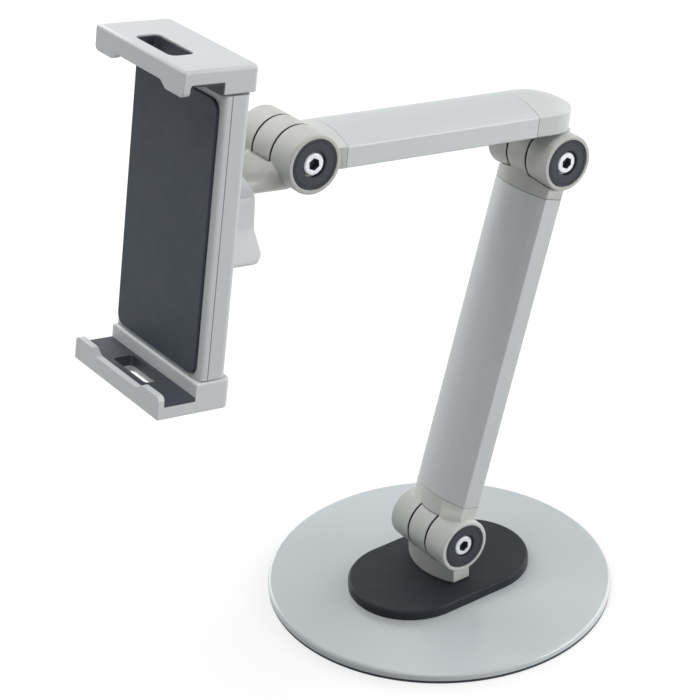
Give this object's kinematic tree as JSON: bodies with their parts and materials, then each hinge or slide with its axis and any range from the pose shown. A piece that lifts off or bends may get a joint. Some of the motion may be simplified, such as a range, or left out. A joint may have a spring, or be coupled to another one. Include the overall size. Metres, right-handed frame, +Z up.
{
  "type": "tablet desk stand",
  "caption": "Folding desk stand with a weighted round base, a swivelling two-part arm and a spring clamp that holds a tablet or phone.",
  "frame": {"origin": "middle of the rubber pad's underside, on the desk", "axes": "+Z up, +X along the hinge bolts towards their heads, -Y the way the tablet's screen faces"},
  "size_m": [0.17, 0.257, 0.3184],
  "materials": {
    "painted_steel": "smooth light grey paint",
    "dark_plastic": "fine-grained dark grey",
    "dark_rubber": "matt, slightly soft",
    "cast_grey": "die cast, matt warm grey coat",
    "arm_aluminium": "satin anodised",
    "grey_plastic": "light grey, fine-grained",
    "plated_steel": "bright plated",
    "black_nylon": "smooth black nylon"
  },
  "bodies": {
    "base": {"base_rubber_pad": "dark_rubber", "base_disc": "painted_steel", "base_plate": "dark_plastic", "base_plate_screws": "plated_steel"},
    "foot": {"foot": "cast_grey", "foot_washer": "black_nylon", "swivel_bolt": "plated_steel", "swivel_washer": "plated_steel"},
    "lower_arm": {"lower_arm_tube": "arm_aluminium", "lower_arm_bottom_end": "cast_grey", "lower_arm_top_end": "cast_grey", "lower_arm_screws": "plated_steel", "base_hinge_bolt": "plated_steel", "base_hinge_nut": "plated_steel", "base_hinge_washers": "black_nylon", "base_hinge_near_cap": "dark_plastic", "base_hinge_far_cap": "dark_plastic"},
    "upper_arm": {"upper_arm_tube": "arm_aluminium", "upper_arm_elbow_end": "cast_grey", "upper_arm_head_end": "cast_grey", "upper_arm_screws": "plated_steel", "elbow_hinge_bolt": "plated_steel", "elbow_hinge_nut": "plated_steel", "elbow_hinge_washers": "black_nylon", "elbow_hinge_near_cap": "dark_plastic", "elbow_hinge_far_cap": "dark_plastic"},
    "head_bracket": {"head_bracket": "cast_grey", "spindle_screw": "plated_steel", "spindle_washer": "plated_steel", "head_hinge_bolt": "plated_steel", "head_hinge_nut": "plated_steel", "head_hinge_washers": "black_nylon", "head_hinge_near_cap": "dark_plastic", "head_hinge_far_cap": "dark_plastic"},
    "lock_lever": {"lock_lever": "grey_plastic"},
    "head": {"head_back_housing": "grey_plastic", "head_front_housing": "grey_plastic", "head_shell_screws": "plated_steel", "front_pad": "dark_rubber", "lower_jaw": "grey_plastic", "lower_jaw_screws": "plated_steel", "lower_jaw_grip": "dark_rubber", "jaw_springs": "plated_steel"},
    "upper_jaw": {"upper_jaw": "grey_plastic", "upper_jaw_lining": "dark_rubber", "jaw_rods": "plated_steel", "jaw_rod_nuts": "plated_steel"}
  },
  "joints": [
    {"name": "base_swivel", "type": "hinge", "parent": "base", "child": "foot", "pos_m": [0, 0, 0.0098], "axis": [0, 0, 1], "continuous": true},
    {"name": "base_tilt", "type": "hinge", "parent": "foot", "child": "lower_arm", "pos_m": [0, 0, 0.0309], "axis": [1, 0, 0], "range_deg": [-70, 100]},
    {"name": "elbow", "type": "hinge", "parent": "lower_arm", "child": "upper_arm", "pos_m": [0, 0.05983, 0.21723], "axis": [-1, 0, 0], "range_deg": [-45, 100]},
    {"name": "head_tilt", "type": "hinge", "parent": "upper_arm", "child": "head_bracket", "pos_m": [0, -0.07993, 0.2556], "axis": [1, 0, 0], "range_deg": [-90, 60]},
    {"name": "head_swivel", "type": "hinge", "parent": "head_bracket", "child": "head", "pos_m": [0, -0.07993, 0.2556], "axis": [0, -0.987, 0.1607], "continuous": true},
    {"name": "lock_lever_turn", "type": "hinge", "parent": "head_bracket", "child": "lock_lever", "pos_m": [0, -0.07993, 0.2556], "axis": [0, -0.987, 0.1607], "range_deg": [0, 60]},
    {"name": "upper_jaw_slide", "type": "slide", "parent": "head", "child": "upper_jaw", "axis": [0, 0.1607, 0.987], "range_m": [0, 0.075], "stiffness_N_per_m": 150, "springref_m": -0.1, "deforming": ["jaw_springs"]}
  ]
}
